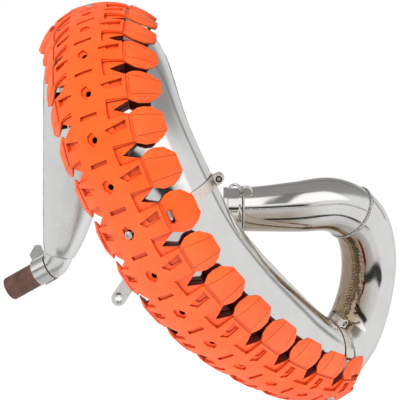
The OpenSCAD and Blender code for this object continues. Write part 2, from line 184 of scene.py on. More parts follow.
def half_side(t):
    """Direction in which the outer or upper stamped half faces."""
    up = np.zeros(np.shape(t) + (3,))
    up[..., 2] = 1
    side = np.where(np.expand_dims(np.asarray(t) < HEADER_END, -1), up, sample(HALF, t))
    return square_to(side, along(t))


def around(t, u, angle, r):
    """Points at radius r round the centre line, angle degrees from u towards along x u."""
    v = np.cross(along(t), u)
    a = np.radians(angle)[..., None]
    return pos(t) + np.expand_dims(r, -1) * (np.cos(a) * u + np.sin(a) * v)


# ---- guard layout

LINKS, CLAMPED = 15, (1, 8, 15)
LINK_PITCH, GUARD_RISE, GUARD_START = 50, 13, 8.08
# degrees round the pipe from the guard's middle: where links part, where a tab folds, where it ends
BELT, FOLD, TIP = 22, 36, 62
FLAT_MM = 1.2  # mm for each degree in a flat moulding


def station_map():
    """Length along the guard's outer line for every t, from the guard's start."""
    line = pos(GRID) + (rad(GRID) + GUARD_RISE)[:, None] * guard_n(GRID)
    length = np.concatenate([[0], np.cumsum(np.linalg.norm(np.diff(line, axis=0), axis=1))])
    return length - np.interp(GUARD_START, GRID, length)


LENGTHS = station_map()


def station(k):
    return np.interp(k * LINK_PITCH, LENGTHS, GRID)


def link_t(n):
    """Middle of link n, where link 1 is the last up the pipe."""
    return station(LINKS - n + 0.5)


def skew(t):
    """How far the chain's cross lines lean, in mm for each degree round the pipe."""
    return lookup(t, [(8.4, 0), (9, -0.05), (10.3, -0.06), (11.5, -0.03), (12.65, 0.02), (13.3, 0.08),
                      (14, 0.1), (14.55, 0.14), (15.1, 0.2), (15.65, 0.34), (16.4, 0.42), (17.2, 0.35)])


def mm_per_t(t):
    return 5 * np.linalg.norm(pos(t + 0.1) - pos(t - 0.1), axis=-1)


def wrap(points, n):
    """Bends points of a flat moulding round the pipe at link n: x across, y along, z out."""
    x, y, z = points.T
    angle = x / FLAT_MM
    t = station(LINKS - n + 0.5 + y / LINK_PITCH)
    t = t - skew(t) * angle / mm_per_t(t)
    crown = lookup(abs(angle), [(0, 0), (16, 0.6), (BELT, 1), (FOLD, 1.6), (TIP, 3)])
    height = GUARD_RISE + z
    height = height + crown * np.clip((height - 3) / 4, 0, 1)
    return around(t, guard_n(t), angle, rad(t) + height)


# ---- materials


class Nodes:
    """A node tree with short calls to wire it."""

    def __init__(self, tree):
        self.tree = tree

    def put(self, socket, value):
        """A number, a colour or another node's output into a socket."""
        if isinstance(value, bpy.types.NodeSocket):
            self.tree.links.new(value, socket)
        else:
            socket.default_value = (*value, 1) if isinstance(value, tuple) else value

    def add(self, kind, *values, **settings):
        """A node with its first inputs, then its settings and other inputs by name."""
        node = self.tree.nodes.new(kind)
        for socket, value in zip(node.inputs, values):
            self.put(socket, value)
        for key, value in settings.items():
            if hasattr(node, key):
                setattr(node, key, value)
            else:
                self.put(node.inputs[key.replace("_", " ")], value)
        return node


class Material(Nodes):
    """A material with one Principled shader."""

    def __init__(self, name, **sockets):
        self.material = bpy.data.materials.new(name)
        self.material.use_nodes = True
        super().__init__(self.material.node_tree)
        self.shader = self.tree.nodes["Principled BSDF"]
        self.finish(**sockets)

    def finish(self, **sockets):
        """Fills the shader's inputs by name and gives the material."""
        for key, value in sockets.items():
            self.put(self.shader.inputs[key.replace("_", " ")], value)
        return self.material

    def noise(self, scale, detail=3, roughness=0.5):
        position = self.add("ShaderNodeNewGeometry").outputs["Position"]
        return self.add("ShaderNodeTexNoise", Vector=position, Scale=scale, Detail=detail,
                        Roughness=roughness).outputs["Fac"]

    def attribute(self, name):
        return self.add("ShaderNodeAttribute", attribute_name=name).outputs["Fac"]

    def remap(self, value, low, high, from_low=0.3, from_high=0.7):
        return self.add("ShaderNodeMapRange", value, from_low, from_high, low, high).outputs["Result"]

    def mix(self, factor, a, b):
        """A colour from a to b, where each is a colour or an output."""
        node = self.add("ShaderNodeMix", factor, data_type="RGBA")
        self.put(node.inputs[6], a)
        self.put(node.inputs[7], b)
        return node.outputs[2]

    def clouds(self, light, deep, *noise):
        return self.mix(self.remap(self.noise(*noise), 0, 1), light, deep)

    def hollow(self, reach, least, most):
        """Painted shade: from least in the open to most deep in a hollow, reach metres wide."""
        light = self.add("ShaderNodeAmbientOcclusion", Distance=reach, samples=8).outputs["AO"]
        return self.remap(light, 1, 0, least, most)

    def bump(self, height, distance, strength=1.0, **more):
        node = self.add("ShaderNodeBump", Height=height, Distance=distance, Strength=strength, **more)
        return node.outputs["Normal"]


def nickel(name, rough, light=(0.86, 0.855, 0.84), deep=(0.80, 0.79, 0.77)):
    """Plated sheet: faint waves in the mirror, straw and brown tints and creases where painted."""
    m = Material(name, Metallic=1.0)
    tint = m.mix(m.noise(60, 2), (0.50, 0.385, 0.27), (0.33, 0.235, 0.15))
    waves = m.bump(m.noise(22, 1), 0.0006, 0.5)
    return m.finish(Base_Color=m.mix(m.attribute("tint"), m.clouds(light, deep, 38, 4), tint),
                    Roughness=m.remap(m.noise(150, 3), rough, rough + 0.06),
                    Normal=m.bump(m.noise(95, 2, 0.6), 0.0012, m.attribute("crease"), Normal=waves))


def weld(name, light, deep):
    """Laid weld metal with its ripples and fine scale."""
    m = Material(name, Metallic=1.0)
    return m.finish(Base_Color=m.clouds(light, deep, 160), Roughness=m.remap(m.noise(300), 0.18, 0.34),
                    Normal=m.bump(m.noise(900, 2), 0.0002))


def heated_steel():
    """Bare tube coloured brown by heat, with darker clouds and fine scale."""
    m = Material("heated_steel", Metallic=0.45)
    return m.finish(Base_Color=m.clouds((0.205, 0.105, 0.075), (0.10, 0.052, 0.04), 70, 5, 0.6),
                    Roughness=m.remap(m.noise(220, 4), 0.42, 0.62),
                    Normal=m.bump(m.noise(1300, 3), 0.00015, 0.6))


# painted shade: deep red for the inside faces of the guard mouldings
PAINTED_INSIDE_SHADE_RED = (0.16, 0.006, 0.006)
# painted shade: red that darkens the mouldings' hollows
PAINTED_HOLLOW_SHADE_RED = (0.42, 0.03, 0.004)
# painted shade: dark grey that darkens the steel parts' hollows
PAINTED_HOLLOW_SHADE_GREY = (0.05, 0.045, 0.04)


def moulded(name, light, deep):
    """Satin moulded plastic with slight flow marks and fine grain, with painted deep red shade in its hollows
    and on its inside faces.
    """
    m = Material(name, IOR=1.46, Subsurface_Weight=0.06, Subsurface_Scale=0.004)
    m.shader.inputs["Subsurface Radius"].default_value = (1.0, 0.25, 0.08)
    # painted shade: hollows found by ambient occlusion turn red
    surface = m.mix(m.hollow(0.0045, 0.35, 0.97), m.clouds(light, deep, 45, 4), PAINTED_HOLLOW_SHADE_RED)
    # painted shade: faces marked inside turn deep red
    return m.finish(Base_Color=m.mix(m.attribute("inside"), surface, PAINTED_INSIDE_SHADE_RED),
                    Roughness=m.remap(m.noise(400, 3), 0.40, 0.52),
                    Normal=m.bump(m.noise(1600, 2), 0.00008, 0.5))


def rolled_steel(name, light, deep, rough, reach=0.0025):
    """Rolled or zinc plated steel with a fine grain, with painted dark grey shade in hollows up to reach
    metres wide.
    """
    m = Material(name, Metallic=1.0)
    # painted shade: hollows found by ambient occlusion turn dark grey
    return m.finish(Base_Color=m.mix(m.hollow(reach, 0.25, 0.75), m.clouds(light, deep, 260, 4), PAINTED_HOLLOW_SHADE_GREY),
                    Roughness=m.remap(m.noise(500, 3), rough, rough + 0.12),
                    Normal=m.bump(m.noise(1900, 2), 0.00006, 0.5))


NICKEL = nickel("nickel_plate", 0.07)
SOFT_NICKEL = nickel("nickel_soft_plate", 0.25, (0.95, 0.945, 0.935), (0.91, 0.905, 0.895))
WELD = weld("weld_metal", (0.80, 0.785, 0.76), (0.52, 0.50, 0.47))
STRAW_WELD = weld("straw_weld", (0.56, 0.42, 0.26), (0.30, 0.20, 0.11))
HEATED = heated_steel()
LINK_ORANGE = moulded("guard_orange", (1.0, 0.125, 0.018), (0.93, 0.10, 0.012))
# painted light: the tabs get a lighter copy of the links' orange, for the light they catch
TAB_ORANGE_PAINTED_LIGHTER = moulded("guard_tab_orange", (1.0, 0.145, 0.030), (0.95, 0.115, 0.020))
STRAP = rolled_steel("strap_steel", (0.93, 0.85, 0.77), (0.82, 0.74, 0.66), 0.24)
ZINC = rolled_steel("zinc_steel", (0.84, 0.83, 0.81), (0.68, 0.67, 0.65), 0.16)
SCREW_ZINC = rolled_steel("screw_zinc_steel", (0.95, 0.94, 0.92), (0.82, 0.81, 0.79), 0.34, 0.0018)
DARK_ZINC = rolled_steel("worm_steel", (0.46, 0.45, 0.44), (0.28, 0.27, 0.26), 0.18)

# ---- mesh helpers


def in_scene(name, data):
    """A new object in the scene."""
    thing = bpy.data.objects.new(name, data)
    bpy.context.scene.collection.objects.link(thing)
    return thing


def show(name, mesh, material, body="pipe", nodes=(), even=False):
    """Puts a mesh, already in metres, in the scene as a piece that rides a body.

    Where even is set, big flat faces stay flat beside rounded edges that are shaded smooth.
    """
    piece = in_scene(name, mesh)
    mesh.materials.clear()
    mesh.materials.append(material)
    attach(piece, body)
    if nodes:
        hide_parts(*nodes)
    if even:
        weighted = piece.modifiers.new("normals", "WEIGHTED_NORMAL")
        weighted.keep_sharp = True
        weighted.weight = 80


def raw_mesh(name, points, faces):
    """A mesh from points as they are, with its faces turned outwards."""
    mesh = bpy.data.meshes.new(name)
    mesh.from_pydata([tuple(p) for p in points], [], faces)
    bm = bmesh.new()
    bm.from_mesh(mesh)
    bmesh.ops.recalc_face_normals(bm, faces=bm.faces)
    bm.to_mesh(mesh)
    bm.free()
    return mesh


def mesh_of(name, points, faces, sharp=None):
    """A smooth mesh from points in mm, with edges over sharp degrees as creases."""
    mesh = raw_mesh(name, np.asarray(points) * MM, faces)
    mesh.shade_smooth()
    if sharp:
        mesh.set_sharp_from_angle(angle=math.radians(sharp))
    return mesh


def grid_faces(rows, size):
    """Quads between rows of a closed ring of points."""
    return [(j * size + i, (j + 1) * size + i, (j + 1) * size + (i + 1) % size, j * size + (i + 1) % size)
            for j in range(rows - 1) for i in range(size)]


def hoop(rings, turn=0):
    """Points and faces of a solid through closed rings and back to the first, turned by some points."""
    rows, size = len(rings), len(rings[0])
    last = (rows - 1) * size
    closing = [(last + i, (i + turn) % size, (i + 1 + turn) % size, last + (i + 1) % size)
               for i in range(size)]
    return np.concatenate(rings), grid_faces(rows, size) + closing


def loft(rings):
    """Points and faces of a solid through closed rings, with flat ends."""
    rows, size = len(rings), len(rings[0])
    faces = grid_faces(rows, size)
    faces.append(tuple(range(size)))
    faces.append(tuple(range((rows - 1) * size, rows * size)))
    return np.concatenate(rings), faces


def merged(parts):
    """Several (points, faces) as one."""
    points, faces, start = [], [], 0
    for p, f in parts:
        points.append(np.asarray(p, float))
        faces += [tuple(i + start for i in face) for face in f]
        start += len(p)
    return np.concatenate(points), faces


def full_turn(count):
    """Even angles round a circle, in radians."""
    return np.linspace(0, 2 * math.pi, count, endpoint=False)


def tube(path, radius, sides=12, closed=False):
    """A round bar along a path, whose radius may change from point to point."""
    path = np.asarray(path, float)
    radius = np.broadcast_to(radius, len(path))
    steps = np.roll(path, -1, 0) - np.roll(path, 1, 0) if closed else np.gradient(path, axis=0)
    tangents = unit(steps)
    normal = square_to(np.array([0.3, 0.5, 0.8]), tangents[0])
    turns = full_turn(sides)[:, None]
    rings = []
    for p, d, r in zip(path, tangents, radius):
        normal = square_to(normal, d)
        rings.append(p + r * (np.cos(turns) * normal + np.sin(turns) * np.cross(d, normal)))
    if not closed:
        return loft(rings)
    return hoop(rings, int(np.argmin(np.linalg.norm(rings[0] - rings[-1][0], axis=1))))


def lathe(profile, sides=96):
    """A closed (radius, height) outline turned round z."""
    return hoop([np.array([(r * math.cos(a), r * math.sin(a), z) for r, z in profile])
                 for a in full_turn(sides)])


def placing(origin, z, x):
    """Matrix that puts z along a direction, with x turned towards another, in mm."""
    zz = unit(np.asarray(z, float))
    xx = square_to(np.asarray(x, float), zz)
    m = np.eye(4)
    m[:3, 0], m[:3, 1], m[:3, 2], m[:3, 3] = xx, np.cross(zz, xx), zz, origin
    return m


def moved(matrix, part):
    """(points, faces) taken through a matrix."""
    points, faces = part
    return np.asarray(points) @ matrix[:3, :3].T + matrix[:3, 3], faces


def prism(outline, low, high, draft=0.0):
    """An upright solid over a flat outline in mm, its top drawn in by draft."""
    top = drawn_in(outline, draft)
    size = len(outline)
    points = [(x, y, low) for x, y in outline] + [(x, y, high) for x, y in top]
    faces = [(i, (i + 1) % size, size + (i + 1) % size, size + i) for i in range(size)]
    return np.array(points, float), faces + [tuple(range(size)), tuple(range(size, 2 * size))]


def drawn_in(outline, by):
    """An outline with every side moved inwards."""
    if not by:
        return outline
    points = np.array(outline, float)
    sides = unit(np.roll(points, -1, 0) - points)
    area = np.sum(points[:, 0] * np.roll(points[:, 1], -1) - np.roll(points[:, 0], -1) * points[:, 1])
    inwards = np.stack([-sides[:, 1], sides[:, 0]], 1) * np.sign(area)
    corners = zip(points, np.roll(inwards, 1, 0), inwards)
    return [tuple(p + by * (a + b) / (1 + a @ b)) for p, a, b in corners]


def box(low, high):
    """A block between two corners."""
    (x0, y0, z0), (x1, y1, z1) = low, high
    return prism([(x0, y0), (x1, y0), (x1, y1), (x0, y1)], z0, z1)


def stadium(x, y, half_length, r, steps=10):
    """Outline of a slot along y with round ends."""
    turn = [math.pi * k / steps for k in range(steps + 1)]
    return [(x + r * math.cos(a), y + half_length + r * math.sin(a)) for a in turn] + [
        (x - r * math.cos(a), y - half_length - r * math.sin(a)) for a in turn]


def circle(x, y, r, sides=32):
    return [(x + r * math.cos(a), y + r * math.sin(a)) for a in full_turn(sides)]


def combined(base, adds, cuts):
    """bmesh of a base joined with each of adds and then cut by each of cuts, in plain mm."""
    work = in_scene("work", raw_mesh("work", *base))
    for operation, parts in (("UNION", adds), ("DIFFERENCE", cuts)):
        for part in parts:
            tool = in_scene("work", raw_mesh("work", *part))
            boolean = work.modifiers.new("boolean", "BOOLEAN")
            boolean.operation, boolean.object, boolean.solver = operation, tool, "EXACT"
            scene_now = bpy.context.evaluated_depsgraph_get()
            result = bpy.data.meshes.new_from_object(work.evaluated_get(scene_now))
            work.modifiers.clear()
            work.data = result
            bpy.data.objects.remove(tool)
    bm = bmesh.new()
    bm.from_mesh(work.data)
    bpy.data.objects.remove(work)
    bmesh.ops.remove_doubles(bm, verts=bm.verts, dist=0.01)
    bmesh.ops.dissolve_limit(bm, angle_limit=math.radians(1), verts=bm.verts, edges=bm.edges)
    return bm


def rounded(bm, width, keep=lambda edge: False):
    """Rounds the sharp edges of a bmesh but those to keep, and marks the shallow ones as creases."""
    bm.edges.ensure_lookup_table()
    sharp = []
    for edge in bm.edges:
        angle = edge.calc_face_angle(0)
        if angle > math.radians(28) and not keep(edge):
            sharp.append(edge)
        elif angle > math.radians(7):
            edge.smooth = False
    bmesh.ops.bevel(bm, geom=sharp, offset=width, segments=2, profile=0.6, affect="EDGES",
                    clamp_overlap=True)
    return bm


def plane_cut(bm, point, normal, dist=0.001, clear=False):
    """Cuts a bmesh along a plane and, where asked, clears what stands in front of it."""
    bmesh.ops.bisect_plane(bm, geom=bm.verts[:] + bm.edges[:] + bm.faces[:], dist=dist, plane_co=point,
                           plane_no=normal, clear_outer=clear)


def sliced(bm, across, lengthwise):
    """Cuts a bmesh along lines this far apart so that it bends smoothly, then into triangles."""
    low = np.min([v.co for v in bm.verts], axis=0)
    high = np.max([v.co for v in bm.verts], axis=0)
    for axis, gap in ((0, across), (1, lengthwise)):
        normal = Vector((1 - axis, axis, 0))
        first, last = math.ceil((low[axis] + 0.2) / gap), math.floor((high[axis] - 0.2) / gap)
        for k in range(first, last + 1):
            plane_cut(bm, normal * k * gap, normal)
    bmesh.ops.triangulate(bm, faces=bm.faces)
    return bm


def finished(bm, name):
    """Mesh of a bmesh, still flat and in mm, smooth but for its creases."""
    mesh = bpy.data.meshes.new(name)
    for face in bm.faces:
        face.smooth = True
    for edge in bm.edges:
        if edge.calc_face_angle(0) > math.radians(50):
            edge.smooth = False
    bm.to_mesh(mesh)
    bm.free()
    return mesh


def taken(bm):
    """Points and faces of a bmesh, which is freed."""
    bm.verts.index_update()
    part = np.array([v.co for v in bm.verts]), [tuple(v.index for v in face.verts) for face in bm.faces]
    bm.free()
    return part


# ---- pipe

HALF_SEGMENTS, RINGS_PER_T, BEAD_STEP = 48, 14, 0.6
BEND_CENTRE = np.array([100.0, 60.0, -78.0])


def paint(mesh, name, values):
    """A number for each vertex that a material reads."""
    mesh.attributes.new(name, "FLOAT", "POINT").data.foreach_set("value", np.asarray(values, np.float32))


def ramp(value, start, width):
    """0 up to start, 1 from start + width on."""
    return np.clip((value - start) / width, 0, 1)


def tint_at(points, t):
    """Straw and brown tint: inside the bend, and on the header's side, underneath and top."""
    inside = square_to(BEND_CENTRE - pos(t), along(t))
    out = unit(points - pos(t))
    bend = ramp(out @ inside, 0.3, 0.4) * lookup(t, [(2.8, 0), (3.8, 1), (7.6, 1), (8.1, 0)])
    low = -out[:, 2]
    near_mouth = 1 - ramp(points[:, 0], 70, 35)
    header = np.max([0.7 * ramp(low, -0.1, 0.4) * near_mouth, 0.65 * ramp(low, 0.55, 0.3),
                     0.25 * ramp(-low, 0.4, 0.3)], axis=0) * lookup(t, [(0, 1), (3.0, 1), (3.7, 0)])
    return np.maximum(bend, header)


def pipe_half(name, t0, t1, sign):
    """One stamped half as a smooth closed shell."""
    ts = np.linspace(t0 + 0.003, t1 - 0.003, max(8, int((t1 - t0) * RINGS_PER_T)))
    turns = np.linspace(-90, 90, HALF_SEGMENTS + 1)
    rings, tints, creases = [], [], []
    for t in ts:
        u, r = sign * half_side(t), rad(t)
        angles = turns * (90 - math.degrees(SEAM_GAP / 2 / r)) / 90
        ring = np.concatenate([around(t, u, angles, r), around(t, u, angles[::-1], r - WALL)])
        tint = tint_at(ring, t)
        rings.append(ring)
        tints.append(tint)
        creases.append(np.clip(tint * 3 - 2.2, 0, 1) * float(3.4 < t < BEND_END))
    mesh = mesh_of(name, *loft(rings))
    for edge in mesh.edges:
        i, j = (v % (2 * HALF_SEGMENTS + 2) for v in edge.vertices)
        if i == j and i in (0, HALF_SEGMENTS, HALF_SEGMENTS + 1, 2 * HALF_SEGMENTS + 1):
            edge.use_edge_sharp = True
    paint(mesh, "tint", np.concatenate(tints))
    paint(mesh, "crease", np.concatenate(creases))
    show(name + "_sheet", mesh, SOFT_NICKEL if t0 >= BELLY_END else NICKEL, nodes=[name])


def bead(name, path, radius, ripple=0.16, pitch=1.7, closed=False, material=WELD):
    """A laid weld: a bar whose radius swells with each puddle."""
    length = np.concatenate([[0], np.cumsum(np.linalg.norm(np.diff(path, axis=0), axis=1))])
    swell = 1 + ripple * np.cos(2 * math.pi * length / pitch) + 0.1 * np.sin(length / 5.3)
    mesh = mesh_of(name, *tube(path, radius * swell, 8, closed))
    show(name, mesh, material)


def seam_path(t0, t1, sign, lift):
    """Line where the two stamped halves meet, on one side of the pipe."""
    steps = int((t1 - t0) * mm_per_t((t0 + t1) / 2) / BEAD_STEP)
    ts = np.linspace(t0, t1, steps)
    return around(ts, half_side(ts), np.full(steps, 90.0 * sign), rad(ts) + lift)


def ring_path(t, lift):
    """Line right round the pipe."""
    steps = int(2 * math.pi * rad(t) / BEAD_STEP)
    angles = np.linspace(0, 360, steps, endpoint=False)
    return around(t, half_side(t - 0.001), angles, rad(t) + lift)


def pipe():
    """The eight stamped halves, the beads on their seams and the rings between the sections."""
    for pair, t0, t1 in ((("header_upper", "header_lower"), 0, HEADER_END),
                         (("bend_front", "bend_rear"), HEADER_END, BEND_END),
                         (("belly_front", "belly_rear"), BEND_END, BELLY_END),
                         (("tail_outer", "tail_inner"), BELLY_END, LAST)):
        for name, sign in zip(pair, (1, -1)):
            pipe_half(name, t0, t1, sign)
        for side, sign in (("near", 1), ("far", -1)):
            path = seam_path(t0 + 0.01, t1 - 0.01, sign, -0.1)
            # the seam inside the bend is laid thicker
            if pair[0] == "bend_front" and np.linalg.norm(path.mean(0) - BEND_CENTRE) < 45:
                bead("seam_bend_inside", path, 2.2, 0.22, 3.4, material=STRAW_WELD)
            else:
                bead(f"seam_{pair[0]}_{side}", path, 0.8, 0.07)
    bead("weld_header_end", ring_path(HEADER_END, 0.3), 1.3, 0.2, 2.4, closed=True)
    bead("weld_bend_end", ring_path(BEND_END, 0.0), 0.8, closed=True)
    bead("weld_belly_end", ring_path(BELLY_END, 0.0), 0.9, closed=True)


pipe()

# ---- pipe ends

INLET_BORE_R, COLLAR_LEN, COLLAR_WALL, COLLAR_LIP = 20, 20, 4, 5
STINGER_R, STINGER_WALL, STINGER_LEN, FIT_LEN, ELBOW_BEND_R = 14, 1.5, 60, 40, 20
STINGER_DIR = unit(np.array([-0.83, 0.32, -0.46]))
TAIL_DIR = unit(way_point(LAST)[:3] - way_point(LAST - 1)[:3])
ELBOW_ANGLE = math.degrees(math.acos(TAIL_DIR @ STINGER_DIR))
ELBOW_X = -square_to(STINGER_DIR, TAIL_DIR)
ELBOW_MID = way_point(LAST)[:3] + 0.2 * TAIL_DIR - ELBOW_BEND_R * ELBOW_X
ELBOW_R = STINGER_R + STINGER_WALL


def elbow_point(angle):
    """Centre of the elbow, degrees from the tail's end."""
    a = math.radians(angle)
    return ELBOW_MID + ELBOW_BEND_R * (math.cos(a) * ELBOW_X + math.sin(a) * TAIL_DIR)


STINGER_ROOT = elbow_point(ELBOW_ANGLE) + 0.2 * STINGER_DIR


def duct(rings_at, outer, inner, segments=64):
    """A bent or straight pipe through (centre, direction) rings, open at both ends."""
    side = square_to(np.array([0.2, 0.1, 1.0]), rings_at[0][1])
    turns = full_turn(segments)[:, None]
    rings = []
    for (centre, d), ro, ri in zip(rings_at, outer, inner):
        side = square_to(side, d)
        wheel = np.cos(turns) * side + np.sin(turns) * np.cross(d, side)
        rings.append((centre + ro * wheel, centre + ri * wheel))
    return hoop([r[0] for r in rings] + [r[1] for r in rings[::-1]])


def collar():
    """Turned collar at the header's mouth, with a lip and rounded edges."""
    mouth, mid, end = INLET_BORE_R + COLLAR_WALL, INLET_BORE_R + COLLAR_WALL - 1, COLLAR_LEN
    profile = [(INLET_BORE_R, 0.6), (INLET_BORE_R + 0.6, 0), (mouth - 0.8, 0), (mouth, 0.8),
               (mouth, COLLAR_LIP - 0.6), (mouth - 0.5, COLLAR_LIP), (mid, COLLAR_LIP + 0.5),
               (mid, end - 4.5), (mid + 0.4, end - 3), (mouth - 0.1, end - 0.8), (mouth - 0.4, end),
               (INLET_BORE_R, end)]
    mesh = mesh_of("inlet_collar", *moved(placing((0, 0, 0), (1, 0, 0), (0, 0, 1)), lathe(profile, 128)))
    paint(mesh, "tint", np.full(len(mesh.vertices), 0.25))
    show("inlet_collar_ring", mesh, NICKEL, nodes=["inlet_collar"], even=True)
    bead("weld_collar", ring_path(0.03, 0.2), 1.2, 0.2, 2.2, closed=True)


def stinger():
    """The bent elbow at the tail's end and the straight tube after it."""
    rings, count = [], 24
    for a in np.linspace(0, ELBOW_ANGLE, count):
        d = math.cos(math.radians(a)) * TAIL_DIR - math.sin(math.radians(a)) * ELBOW_X
        rings.append((elbow_point(a), d))
    mesh = mesh_of("elbow", *duct(rings, [ELBOW_R] * count, [ELBOW_R - STINGER_WALL] * count))
    show("tail_elbow_bend", mesh, SOFT_NICKEL, nodes=["tail_elbow"], even=True)
    # length along the tube, drop of its outside and gain of its bore
    stops = [(0, 0.2, 0), (STINGER_LEN - FIT_LEN - 0.2, 0.2, 0), (STINGER_LEN - FIT_LEN, 0.0, 0),
             (STINGER_LEN - 0.6, 0.0, 0), (STINGER_LEN, 0.5, 0.3)]
    rings = [(STINGER_ROOT + stop[0] * STINGER_DIR, STINGER_DIR) for stop in stops]
    outer = [STINGER_R - stop[1] for stop in stops]
    inner = [STINGER_R - STINGER_WALL + stop[2] for stop in stops]
    mesh = mesh_of("stinger", *duct(rings, outer, inner))
    show("stinger_pipe", mesh, HEATED, nodes=["stinger_tube"], even=True)


collar()
stinger()

# ---- guard mouldings

# heights from a plate's face: its underside, web, outer edges, rib tops and a tab's face
SKIN, WEB, EDGE_Z, RIB_TOP, TAB_TOP = 4.0, 2.8, -1.1, -3.5, 0.4
HALF_LINK = LINK_PITCH / 2 - 0.04
RIB_LOW = -(GUARD_RISE - 0.9)
RIB_LOW_HELD = -(GUARD_RISE - 2.5)
PLASTIC_EDGE, SLICES = 0.42, (4.0, 6.25)


def flat(*points):
    """An outline given as (degrees round the pipe, mm along it), in flat mm."""
    return [(a * FLAT_MM, y) for a, y in points]


def both(*points):
    """A right-hand flat outline and its left-hand mirror image."""
    outline = flat(*points)
    return [outline, [(-x, y) for x, y in outline][::-1]]


def mirrored(*points):
    """A closed flat outline from its right half, listed from low y to high y."""
    right, left = both(*points)
    return right + left


def plate_parts(low):
    """Solids that make a middle plate: thin web, raised panel, ribs and window skirts."""
    end = HALF_LINK + 1
    web = prism(mirrored((BELT - 1.2, -end), (35.7, -17.0), (36.12, -16.6), (36.12, 17.4), (34.5, 17.4),
                         (BELT - 1.2, end)), -SKIN, -WEB)
    panel = prism(mirrored((17.6, -end), (17.6, -13.6), (35.2, -15.3), (35.2, 16.4), (18.4, 16.2),
                           (17.6, end)), -SKIN, 0, 0.7)
    sill = prism(mirrored((33, -15.2), (36.12, -15.4), (36.12, 15.4), (33, 15.2)), -SKIN, EDGE_Z)
    walls = both((32.5, -14), (35, -14), (35, 14), (32.5, 14))
    for s in (-1, 1):
        walls += both((21.0, s * end), (19.4, s * end), (33.2, s * 14.6), (35.4, s * 14.9), (35.4, s * 16.0))
    return web, [panel, sill, *(prism(outline, low, RIB_TOP) for outline in walls)]


def plate_cuts():
    """Hex recess with its screw hole, stepped windows and the slots at both ends."""
    hexagon = [(1.3, 8.3), (-4.2, 6), (-4.8, -0.5), (0.6, -6.5), (6, -3.7), (7.2, 0.5)]
    cuts = [prism(hexagon, -2.0, 1, -0.4), prism(circle(1.8, 0, 3.2), -20, 3),
            prism(circle(1.8, 0, 3.0), -3.2, -1.9, -1.3)]
    for depth, windows in ((-1.8, both((14, 5.3), (32, 10.5), (31.8, 1), (18.8, -1))),
                           (-3.2, both((20.5, 7.0), (31.2, 10.1), (31.0, 2.6), (22, 2.2)))):
        cuts += [prism(outline, depth, 1, -0.2) for outline in windows]
    for y in (-LINK_PITCH / 2, LINK_PITCH / 2):
        cuts.append(box((-9.9, y - 2.3, -2.2), (10.2, y + 2.3, 3)))
    return cuts


def trimmed_ends(bm):
    """Cuts a plate square at both link ends."""
    for s in (-1, 1):
        plane_cut(bm, (0, s * HALF_LINK, 0), (0, s, 0), 0.0005, True)
        rim = [e for e in bm.edges if e.is_boundary]
        if rim:
            bmesh.ops.triangle_fill(bm, edges=rim, use_beauty=True)
    bmesh.ops.dissolve_limit(bm, angle_limit=math.radians(1), verts=bm.verts, edges=bm.edges)
    return bm


def at_link_end(edge):
    """Whether an edge lies on a plate's square end, where it meets the next link."""
    return all(abs(v.co.y) > HALF_LINK - 0.02 for v in edge.verts)


TAB_OUTLINE = flat((36.2, -16.2), (44, -21.8), (52.5, -22.8), (58.5, -18.8), (63.2, -11.5), (63, 10.5),
                   (56, 21), (48, 23.2), (42.5, 22.2), (38, 18.5), (36.2, 17.2))


def shaved(bm, start, end, slope):
    """Planes off what stands above a plane that falls away from a line."""
    a, b = Vector((*start, TAB_TOP)), Vector((*end, TAB_TOP))
    line = (b - a).normalized()
    out = Vector((-line.y, line.x, 0))
    out = out if out.y * start[1] > 0 else -out
    normal = (Vector((0, 0, 1)) + slope * out).normalized()
    plane_cut(bm, a, normal, clear=True)
    bmesh.ops.holes_fill(bm, edges=[e for e in bm.edges if e.is_boundary])
    return bm


UPPER_FACET = flat((36.5, 14.2), (63.2, 7.6))
LOWER_FACET = flat((36.5, -10.6), (63.4, -12.6))


def tab_solid(low):
    """Right-hand tab: eight-sided, with two sloped facets beside the middle one."""
    rib = box((58 * FLAT_MM, -9, low), (60 * FLAT_MM, 8, RIB_TOP))
    bm = combined(prism(TAB_OUTLINE, -SKIN, TAB_TOP), [rib], [])
    shaved(bm, *UPPER_FACET, 0.30)
    shaved(bm, *LOWER_FACET, 0.26)
    return taken(bm)


def flipped(part):
    """Left-hand twin of a part."""
    points, faces = part
    return points * np.array([-1, 1, 1]), [face[::-1] for face in faces]


GROOVE = box((35 * FLAT_MM, -30, EDGE_Z), (37.6 * FLAT_MM, 30, 2))


def plate_mesh(held):
    """Flat form of a middle plate, with its tabs where a clamp holds the link."""
    low = RIB_LOW_HELD if held else RIB_LOW
    web, adds = plate_parts(low)
    cuts = plate_cuts()
    if held:
        tab = tab_solid(low)
        bridge = box((35 * FLAT_MM, -13, -SKIN), (38 * FLAT_MM, 13, EDGE_Z))
        adds += [bridge, flipped(bridge), tab, flipped(tab)]
        cuts += [GROOVE, flipped(GROOVE)]
        for x in (-40.5, 40.5):
            cuts.append(prism(stadium(x * FLAT_MM, -1.35, 4.9, 3.2), -1.0, 3))
            cuts.append(prism(stadium(x * FLAT_MM, -1.35, 4.9, 2.1), -20, 3))
    bm = trimmed_ends(combined(web, adds, cuts))
    return sliced(rounded(bm, PLASTIC_EDGE, at_link_end), *SLICES)


def scribed(start, end):
    """A fine groove along a line, as a cutter."""
    a, b = np.array(start), np.array(end)
    side = 0.28 * unit(np.array([a[1] - b[1], b[0] - a[0]]))
    return prism([tuple(a - side), tuple(b - side), tuple(b + side), tuple(a + side)], -0.15, 2)


def tab_mesh():
    """Flat form of a free tab, on the right."""
    bm = combined(tab_solid(RIB_LOW), [], [GROOVE, scribed(*UPPER_FACET), scribed(*LOWER_FACET)])
    return sliced(rounded(bm, PLASTIC_EDGE), *SLICES)


